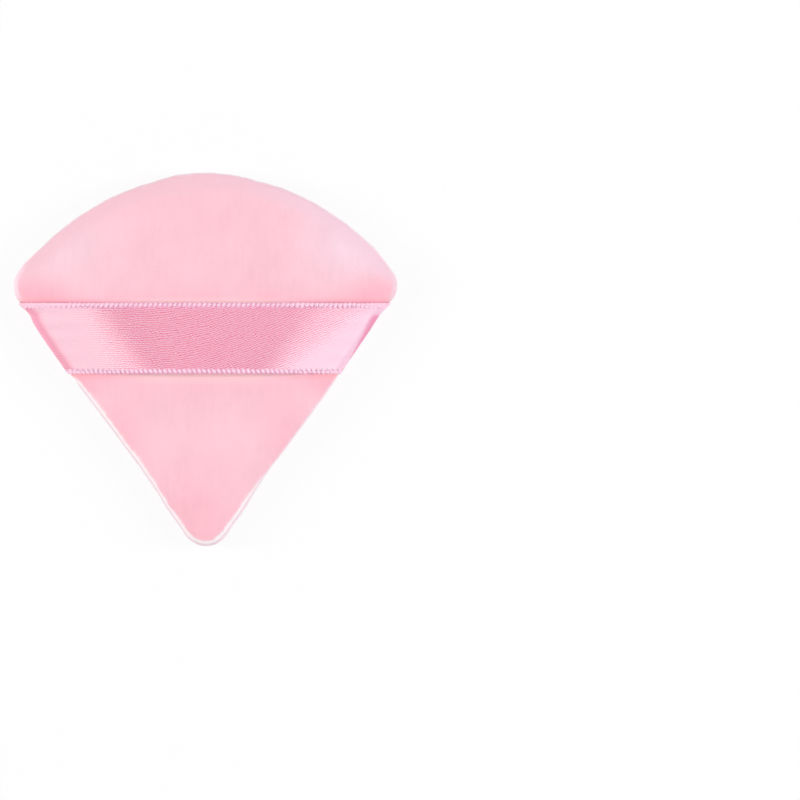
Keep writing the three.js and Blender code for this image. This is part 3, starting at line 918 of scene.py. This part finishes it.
velourLook = {
    "body": paint(254, 202, 214),
    "leftSheen": paint(250, 212, 224),  # painted lilac sheen on the bowed edge's flanks, left and right
    "rightSheen": paint(248, 214, 227),
    "above": paint(254, 210, 222),     # painted light above the ribbon, towards its ends, lifting the ribbon's shadow
    "blush": paint(255, 182, 198),     # at the corners, beside the ribbon's ends
    "deepShade": paint(254, 188, 201),      # painted shade on the lower sides, tip and top
    "leftCornerSheen": paint(252, 224, 234),    # painted sheen on the corners' turned edge, lighter on the left than on the right
    "rightCornerSheen": paint(242, 206, 217),
    "fringeShade": paint(255, 176, 184),    # painted shade and warm bounce light on the pile at the ribbon's edges, towards its ends
    "creaseShadow": paint(228, 150, 174),    # painted contact shadow where the pile meets the ribbon's edges there
    "shadowLift": paint(255, 220, 223),       # painted light along both edges of the ribbon, lifting its shadow
    "rim": paint(246, 221, 230),       # painted sheen along the fold
    "lowRimShade": paint(238, 220, 228),    # the painted sheen on the face panel's fold below the ribbon, greyed by painted shade
    "line": paint(255, 246, 248),      # painted highlight along the back panel's fold below the ribbon
    "shoulderShades": (paint(246, 199, 212), paint(246, 207, 221)),    # painted shade on the bowed edge's shoulder, left and right
    # each patch: its colour, its middle and reach in millimetres, its strength
    "patches": (("leftSheen", (-30, 24), (15, 12), 0.9), ("rightSheen", (31, 24), (16, 12), 0.9),
                ("blush", (-37, 13), (13, 7), 0.8), ("blush", (37, 13), (12, 7), 0.85),
                ("blush", (-28, -5), (12, 5), 0.8), ("blush", (28, -5), (11, 5), 0.9),
                ("deepShade", (0, 31), (22, 11), 0.25), ("deepShade", (0, -33), (18, 19), 0.75),
                ("deepShade", (-17, -16), (9, 18), 0.6), ("deepShade", (17, -16), (9, 18), 0.75),
                ("above", (-20, 16), (13, 6), 0.6), ("above", (20, 16), (13, 6), 0.5)),
    "corners": (("leftCornerSheen", (-41, 16), (7, 8)), ("rightCornerSheen", (41, 16), (7, 8))),
    "tip": ((0, -39), (9, 6)),
    "patchHeight": (8, 40),            # every patch's middle and reach along z
    # clouds, streaks and grain: scale, detail, the range taken and the shades that it gives
    "shades": (((110, 90, 110), 3.0, 0.3, 0.7, 0.965, 1.025),
               ((1100, 190, 700), 2.0, 0.3, 0.7, 0.985, 1.012),
               ((4200, 3000, 4200), 2.0, 0.25, 0.75, 0.975, 1.02)),
    # where each mask starts and ends, in millimetres over the seam, from the middle or from the
    # ribbon's edge, and its strength at both if that isn't 0 and 1
    "bands": {"turnedUp": (1.3, 1.75), "backRimSheen": (2.1, 3.1, 0.85, 0), "faceRimSheen": (-2.0, -1.6),
              "faceRimTop": (-0.6, 0, 0.6, 0), "bow": (3.7, 5.1, 0.8, 0), "bowEnds": (14, 20),
              "bowAcross": (5, 25), "highlightTop": (2.6, 3.25, 0.95, 0), "highlightFoot": (1.7, 2.15),
              "corner": (3.1, 3.7, 1, 0), "onTop": (1.2, 2.4), "pastEdge": (-1.2, -0.8),
              "endward": (14, 32), "middle": (8, 23, 1, 0)},
    # painted light and painted shade on the pile beside the ribbon: its colour, the edge, its reach
    # in millimetres, strength, where
    "ribbonShading": (("shadowLift", "above", 1.6, 1.0, "middle"), ("shadowLift", "below", 3, 0.85, "middle"),
                ("fringeShade", "above", 1.6, 0.5, "endward"), ("fringeShade", "below", 1.7, 0.9, "endward"),
                ("creaseShadow", "above", 0.55, 0.75, "endward")),
    "lowRimGrows": 1.6,
    "sheenRagged": 1.0 * mm,                # how unevenly the painted sheen's edge runs along the fold
    "raggedScale": (520, 520, 60),
    "tipSheenWidens": 0.3 * mm,              # how much wider the painted sheen and highlight reach at the tip
    "pile": ((3600, 2100, 3600), (1300, 210, 1300)),    # scales of its fine and coarse clouds
    "pileDepth": 0.12 * mm,
}


def makeVelour():
    material, shader, place = newMaterial(
        "velour", Roughness=0.95, Specular_IOR_Level=0.15, Sheen_Weight=0.35,
        Sheen_Roughness=0.45, Sheen_Tint=paint(250, 236, 242))
    look = velourLook
    x, y, z = splitAxes(place)

    def patch(middle, reach):
        centre, reach = (tuple(size * mm for size in (*sizes, height)) for sizes, height
                         in zip((middle, reach), look["patchHeight"]))
        return addNode(place.id_data, "Group", node_tree=softPatch, Position=place, Centre=centre,
                       Reach=reach).outputs[0]

    def band(value, name):
        start, end, *strengths = look["bands"][name]
        return rangeOf(value, start * mm, end * mm, *strengths)

    colour = look["body"]
    # The patches: painted sheen on the flanks, painted light above the ribbon, painted shade on the
    # lower sides, tip and top, and the deeper pink blush beside the ribbon's ends
    for name, middle, reach, strength in look["patches"]:
        colour = blendColour(times(patch(middle, reach), strength), colour, look[name])
    shade = times(*(rangeOf(cloud(place, scale, detail), *limits)
                    for scale, detail, *limits in look["shades"]))
    colour = blendColour(1.0, colour, shade, "MULTIPLY")

    # The turned edge: painted sheen along the folds and corners, painted shade on the bowed edge's
    # shoulder and on the face panel's fold below the ribbon, and a painted highlight along the back
    # panel's fold below the ribbon
    overSeam = minus(z, seamZ)
    turnedUp = band(overSeam, "turnedUp")
    uneven = times(minus(cloud(place, look["raggedScale"], 3.0), 0.5), look["sheenRagged"])
    atTip = times(patch(*look["tip"]), look["tipSheenWidens"])
    sheenHeight = minus(plus(overSeam, uneven), atTip)
    backRimSheen = times(turnedUp, band(sheenHeight, "backRimSheen"))
    faceRimSheen = times(band(overSeam, "faceRimSheen"), band(overSeam, "faceRimTop"))
    # Painted shade on the bowed edge's shoulder
    bowed = times(turnedUp, band(overSeam, "bow"), band(y, "bowEnds"))
    colour = blendColour(bowed, colour, blendColour(band(x, "bowAcross"), *look["shoulderShades"]))
    lowDown = rangeOf(y, ribbonLowY - 1.0 * mm, ribbonLowY, 1, 0)
    rimSheenColour = blendColour(times(lowDown, faceRimSheen), look["rim"], look["lowRimShade"])
    faceRimSheen = times(faceRimSheen, rangeOf(lowDown, 0, 1, 1, look["lowRimGrows"], smooth=False))
    colour = blendColour(maths("MAXIMUM", backRimSheen, faceRimSheen), colour, rimSheenColour)
    # Painted highlight along the back panel's fold below the ribbon, ending on the right side of
    # the tip
    away = times(maths("GREATER_THAN", x, 0.0), rangeOf(y, hand["tipLow"], hand["tipHigh"]))
    line = times(band(sheenHeight, "highlightTop"), band(sheenHeight, "highlightFoot"),
                 maths("MAXIMUM", minus(lowDown, away), 0.0))
    colour = blendColour(line, colour, look["line"])
    # Painted sheen on the corners' turned edge
    for name, middle, reach in look["corners"]:
        corner = times(patch(middle, reach), turnedUp, band(overSeam, "corner"))
        colour = blendColour(corner, colour, look[name])

    fromMiddle = maths("ABSOLUTE", x)
    places = {"above": minus(y, ribbonTopY), "below": minus(ribbonLowY, y),
              "endward": band(fromMiddle, "endward"), "middle": band(fromMiddle, "middle")}
    onTop = band(overSeam, "onTop")
    # Painted light and painted shade on the pile beside the ribbon
    for name, edge, reach, strength, where in look["ribbonShading"]:
        beside = times(rangeOf(places[edge], 0, reach * mm, strength, 0),
                       band(places[edge], "pastEdge"), onTop, places[where])
        colour = blendColour(beside, colour, look[name])
    fine, coarse = look["pile"]
    pile = plus(times(cloud(place, fine, 3.0), 0.7), times(cloud(place, coarse), 0.3))
    finishMaterial(shader, colour, pile, 0.35, look["pileDepth"])
    return material


satinLook = {
    "body": paint(255, 172, 199),
    # the weave's light and dark rows: a woven pattern, partly painted glints and painted shade
    "light": paint(255, 208, 226),
    "outerBody": paint(243, 160, 188),    # painted darker nearer the bright patches, where their real gloss begins
    "dark": paint(238, 88, 134),
    # left and right: the bright patches' painted highlight colour, painted shade on the bends over
    # the shoulders and on the upper corners' wedges
    "patches": (paint(236, 177, 198), paint(240, 191, 213)),
    "turns": (paint(243, 146, 174), paint(250, 198, 221)),
    "wedgeShades": (paint(250, 150, 184), paint(235, 120, 166)),
    # in millimetres
    "rowPitch": 0.45,              # of the weave's rows
    "crossPitch": 0.66,            # of the picks that cross them
    "levelFrom": 15.0,             # left of the middle, where the rows are level
    "slopeFull": 5.0,              # right of it, where they rise fully
    "turnWidth": 3.1,
    "wedgeWidths": (0.1, 1.8),
    "wedgeFrom": (3, 11.5),        # heights above the lower edge between which those grow
    "wedgeTop": (12.0, 13.2),
    "wedgeOver": (1.0, 1.75),      # over the seam
    "patchStart": 18.0,            # from the middle to where the left bright patch begins
    "patchEnd": 23.0,
    "patchLater": 4.6,             # the right one, further out
    "outerFrom": 11,               # before the patches
    # the weave's unevenness: each cloud's scale, and how much it moves or breaks the rows
    "drift": (0.4, 0.5, 0.4),
    "driftsRows": 0.6,
    "driftsPicks": 1.5,
    "wobble": (1.6, 1.1, 1),
    "wobblesRows": 0.35,
    "broken": (2.2, 4.0, 1),
    "breaks": (0.36, 0.62, 0.45, 1.55),
    # as shares
    "rowSlope": 0.36,
    "crossSlope": 1.1,
    "patchSlant": 0.42,
    "slantMore": 0.86,             # of the right one
    "patchWeave": 0.16,            # how much of the weave shows there, faded under the painted highlight
    "weaveDepth": 0.012 * mm,
}


def makeSatin():
    material, shader, place = newMaterial(
        "satin", Roughness=0.42, Specular_IOR_Level=1.0, IOR=1.8, Anisotropic=0.9,
        Anisotropic_Rotation=0.25)
    tree, look = shader.id_data, satinLook
    perMm = 1 / ribbon["uvPerMetre"] / mm
    uv = addNode(tree, "UVMap", uv_map="ribbonRun").outputs[0]
    run = maths("MULTIPLY", uv, (perMm, perMm, perMm), kind="VectorMath")     # in millimetres
    along, across, _ = splitAxes(run)
    rightward = minus(along, ribbon["uvMiddle"] * perMm)
    onRight = maths("GREATER_THAN", rightward, 0.0)

    # Rows level on the left, bending until they rise evenly to the right
    bendLength = look["levelFrom"] + look["slopeFull"]
    bent = maths("MAXIMUM", plus(rightward, look["levelFrom"]), 0.0)
    bent = maths("MINIMUM", bent, bendLength)
    straight = maths("MAXIMUM", minus(rightward, look["slopeFull"]), 0.0)
    risen = times(plus(straight, times(bent, bent, 0.5 / bendLength)), look["rowSlope"])
    drift = cloud(run, look["drift"], 1.0)
    wobble = times(cloud(run, look["wobble"]), look["wobblesRows"])
    wavy = plus(times(drift, look["driftsRows"]), wobble)
    lines = plus(minus(across, risen), wavy)
    rows = maths("SINE", times(lines, 2 * math.pi / look["rowPitch"]))
    picks = plus(plus(along, times(drift, look["driftsPicks"])), times(across, look["crossSlope"]))
    crossing = maths("SINE", times(picks, 2 * math.pi / look["crossPitch"]))
    ribs = plus(times(rows, rangeOf(crossing, -1, 1, 0.35, 1.0)), times(crossing, 0.42))
    ribs = times(ribs, rangeOf(cloud(run, look["broken"]), *look["breaks"]))

    # The bright patches, whose inner edges slant: a painted highlight colour and a faded weave,
    # under the real gloss of the lamps
    slant = plus(times(onRight, look["slantMore"]), look["patchSlant"])
    leaning = times(slant, minus(across, halfRibbon / mm))
    slanted = minus(minus(maths("ABSOLUTE", rightward), leaning),
                    times(onRight, look["patchLater"]))
    start, end = look["patchStart"], look["patchEnd"]
    ribs = times(ribs, rangeOf(slanted, start + 1, end + 3, 1, look["patchWeave"]))
    bodyColour = blendColour(rangeOf(slanted, start - look["outerFrom"], start - 2),
                             look["body"], look["outerBody"])
    woven = rangeOf(slanted, start - 2, end, 1, 0.05)
    colour = blendColour(woven, blendColour(onRight, *look["patches"]), bodyColour)

    # Painted shade on the bends over the shoulders and on the wedges past them
    fromRim = addNode(tree, "Attribute", attribute_name="fromRim").outputs["Fac"]
    turnShade = rangeOf(fromRim, look["turnWidth"] * 0.35, look["turnWidth"], 1, 0)
    colour = blendColour(turnShade, colour, blendColour(onRight, *look["turns"]))
    wedge = rangeOf(across, *look["wedgeFrom"], *look["wedgeWidths"], smooth=False)
    overSeam = times(minus(splitAxes(place)[2], seamZ), 1 / mm)
    ending = times(rangeOf(maths("DIVIDE", fromRim, wedge), 0.3, 1.2, 1, 0),
                   rangeOf(across, *look["wedgeTop"], 1, 0),
                   rangeOf(overSeam, *look["wedgeOver"]))
    colour = blendColour(ending, colour, blendColour(onRight, *look["wedgeShades"]))

    # The weave's rows: a woven pattern, partly painted glints and painted shade
    colour = blendColour(rangeOf(ribs, 0, 0.8, smooth=False), colour, look["light"])
    colour = blendColour(rangeOf(ribs, 0, -0.9, smooth=False), colour, look["dark"])
    colour = addHoles(place, colour, "web")
    finishMaterial(shader, colour, ribs, 0.3, look["weaveDepth"])
    tangent = addNode(tree, "Tangent", direction_type="UV_MAP", uv_map="ribbonRun")
    give(shader.inputs["Tangent"], tangent.outputs[0])
    return material


yarnLook = {
    # crest and hollow: painted light on each stitch's crest, painted shade down into the hollows
    # between the stitches
    "crest": paint(252, 210, 229),
    "hollow": paint(232, 160, 194),
    "hollowEnds": paint(226, 158, 192),    # painted shade in the hollows towards the ends, on the inner side
    "outerEnds": paint(248, 196, 220),     # and lighter on the outer side
    "end": paint(253, 203, 223),           # the smooth band towards the rim, its paleness partly a painted highlight
    "undersideShade": paint(236, 168, 198),     # painted shade on each stitch's lower side, in the middle
    "outerSide": (0.25 * mm, 0.65 * mm),   # from the ribbon's edge
    "crestFrom": (0.25, 0.8),              # of the stitch's height
    "undersideFrom": (0.45, 0.95),         # of the row's width
    "undersideShare": 0.55,
    "endShare": 0.8,
    "strands": (9000, 1500, 9000),
    "depth": 0.05 * mm,
}


def makeYarn():
    material, shader, place = newMaterial("overcastYarn", Roughness=0.5, Specular_IOR_Level=0.5,
                                          Sheen_Weight=0.2)
    tree = shader.id_data
    x, y, _ = splitAxes(place)
    crest, ending = (addNode(tree, "Attribute", attribute_name=name).outputs["Fac"]
                     for name in ("crest", "ending"))
    endward = rangeOf(maths("ABSOLUTE", x), *needle["seenFrom"])
    overMiddle = minus(y, ribbonMiddleY)
    inward = minus(halfRibbon, maths("ABSOLUTE", overMiddle))
    outer = rangeOf(inward, *yarnLook["outerSide"], 1, 0)
    hollowEnds = blendColour(outer, yarnLook["hollowEnds"], yarnLook["outerEnds"])
    hollow = blendColour(endward, yarnLook["hollow"], hollowEnds)
    colour = blendColour(rangeOf(crest, *yarnLook["crestFrom"]), hollow, yarnLook["crest"])
    # 0 on each row's upper side, 1 on its lower one, which gets painted shade
    overRow = minus(times(inward, 1 / overcast["width"]), 0.5)
    lower = plus(times(maths("SIGN", overMiddle), overRow), 0.5)
    shaded = rangeOf(lower, *yarnLook["undersideFrom"], 0, yarnLook["undersideShare"])
    shaded = times(shaded, minus(1.0, endward))
    colour = blendColour(shaded, colour, yarnLook["undersideShade"])
    colour = blendColour(times(ending, yarnLook["endShare"]), colour, yarnLook["end"])
    colour = addHoles(place, colour, "yarn")
    strands = cloud(place, yarnLook["strands"], 1.0)
    finishMaterial(shader, colour, strands, 0.4, yarnLook["depth"])
    return material


# the pores are painted darker, as shade in them
spongeLook = {"body": paint(255, 240, 234), "pore": paint(226, 190, 184), "poreScale": 1500.0,
              "poreDepth": 0.25 * mm}


def makeSponge():
    material, shader, place = newMaterial("spongeFoam", Roughness=0.9, Specular_IOR_Level=0.2)
    cells = addNode(shader.id_data, "TexVoronoi", Vector=place, Scale=spongeLook["poreScale"])
    pores = rangeOf(cells.outputs["Distance"], 0.15, 0.55)
    share = times(pores, cloud(place, (400, 400, 400)))
    colour = blendColour(share, spongeLook["pore"], spongeLook["body"])
    finishMaterial(shader, colour, pores, 0.6, spongeLook["poreDepth"])
    return material


# darker between the plies, as painted shade in the grooves
threadLook = {"light": paint(250, 196, 212), "dark": paint(226, 150, 174), "twist": 0.5 * mm,
              "turned": (0.6, 0.7, 0.8), "depth": 0.06 * mm}


def makeThread():
    material, shader, place = newMaterial("sewingThread", Roughness=0.55, Specular_IOR_Level=0.4)
    turned = addNode(shader.id_data, "Mapping", Vector=place, Rotation=threadLook["turned"])
    plies = addNode(shader.id_data, "TexWave", Vector=turned.outputs[0], Distortion=1.0,
                    Scale=math.pi / 10 / threadLook["twist"]).outputs["Fac"]
    colour = blendColour(plies, threadLook["dark"], threadLook["light"])
    finishMaterial(shader, colour, plies, 0.5, threadLook["depth"])
    return material


velour, satin, yarn, foam, thread = (make() for make in (makeVelour, makeSatin, makeYarn,
                                                         makeSponge, makeThread))
print("materials made")


# What each piece stands for and moves with
def finishPiece(piece, material, node):
    piece.data.materials.clear()
    piece.data.materials.append(material)
    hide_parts(node)


finishPiece(backVelour, velour, "back_panel")
finishPiece(faceVelour, velour, "face_panel")
finishPiece(spongeFilling, foam, "sponge_core")
finishPiece(needleThread, thread, "seam_needle_thread")
finishPiece(bobbinThread, thread, "seam_bobbin_thread")
finishPiece(ladderThread, thread, "closing_thread")
finishPiece(ribbonWeb, satin, "ribbon_strap")
finishPiece(upperOvercast, yarn, "ribbon_upper_edge")
finishPiece(lowerOvercast, yarn, "ribbon_lower_edge")

for piece in (backVelour, faceVelour, spongeFilling, needleThread, bobbinThread, ladderThread):
    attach(piece, "pad")
for piece in (ribbonWeb, upperOvercast, lowerOvercast):
    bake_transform(piece)

# Stage, light and camera
stage = {
    "floorSize": 6.0,
    "floorZ": -0.02 * mm,
    "floorPale": (0.93, 0.93, 0.93, 1),
    "floorGlow": 0.9,             # share of plain white that the camera sees, near the puff
    "allWhite": (0.25, 0.8),      # and all of it past these distances
    "horizonFill": 0.89,          # strength of the room's light from the sides
    "zenithFill": 0.31,           # and from above
    "fillHeights": (0.2, 0.7),
}

# Each lamp's place round the puff, its size and its power in watts, turned towards the puff
lamps = {
    "leftLamp": {"at": (-0.55, 0.018, 0.51), "size": (0.16, 0.42), "power": 2.6,
                 "tint": (1.0, 0.97, 0.96)},
    "rightLamp": {"at": (0.55, 0.018, 0.51), "size": (0.16, 0.42), "power": 2.75,
                  "tint": (0.94, 0.98, 1.0)},
}
shot = {"lens": 300.0, "sensor": 36.0, "frameWidth": 169.2 * mm, "focusZ": 5 * mm,
        "centre": (41.09 * mm, -8.46 * mm)}


def makeFloor():
    bpy.ops.mesh.primitive_plane_add(size=stage["floorSize"], location=(0, 0, stage["floorZ"]))
    floor = bpy.context.object
    floor.name = "floor"
    material = bpy.data.materials.new("paleFloor")
    material.use_nodes = True
    tree = material.node_tree
    tree.nodes.clear()
    matt = addNode(tree, "BsdfDiffuse", Color=stage["floorPale"])
    glow = addNode(tree, "Emission", Color=(1, 1, 1, 1), Strength=1.0)
    place = addNode(tree, "TexCoord").outputs["Object"]
    away = maths("LENGTH", place, kind="VectorMath", output="Value")
    glowing = rangeOf(away, *stage["allWhite"], stage["floorGlow"], 1.0)
    seen = times(addNode(tree, "LightPath").outputs["Is Camera Ray"], glowing)
    mixed = addNode(tree, "MixShader")
    for socket, value in zip(mixed.inputs, (seen, matt.outputs[0], glow.outputs[0])):
        give(socket, value)
    give(addNode(tree, "OutputMaterial").inputs[0], mixed.outputs[0])
    floor.data.materials.append(material)


def makeWorld():
    world = bpy.data.worlds.new("paleRoom")
    bpy.context.scene.world = world
    world.use_nodes = True
    tree = world.node_tree
    background = tree.nodes["Background"]
    background.inputs["Color"].default_value = (1, 1, 1, 1)
    height = splitAxes(addNode(tree, "TexCoord").outputs["Generated"])[2]
    fill = rangeOf(height, *stage["fillHeights"], stage["horizonFill"], stage["zenithFill"])
    seen = addNode(tree, "LightPath").outputs["Is Camera Ray"]
    give(background.inputs["Strength"], plus(fill, times(seen, minus(1.0, fill))))


def makeLamp(name, at, size, power, tint):
    lamp = bpy.data.lights.new(name, "AREA")
    lamp.shape = "RECTANGLE"
    lamp.size, lamp.size_y = size
    lamp.energy = power
    lamp.color = tint
    holder = addObject(name, lamp)
    holder.location = at
    holder.rotation_euler = Vector(at).to_track_quat("Z", "Y").to_euler()


def makeCamera():
    camera = bpy.data.cameras.new("camera")
    camera.lens = shot["lens"]
    camera.sensor_width = shot["sensor"]
    camera.clip_end = 20
    holder = addObject("camera", camera)
    distance = shot["frameWidth"] * shot["lens"] / shot["sensor"]
    holder.location = (*shot["centre"], shot["focusZ"] + distance)
    bpy.context.scene.camera = holder


makeFloor()
makeWorld()
for lampName, lampFacts in lamps.items():
    makeLamp(lampName, **lampFacts)
makeCamera()
bpy.context.scene.view_settings.view_transform = "Standard"
print("stage made")
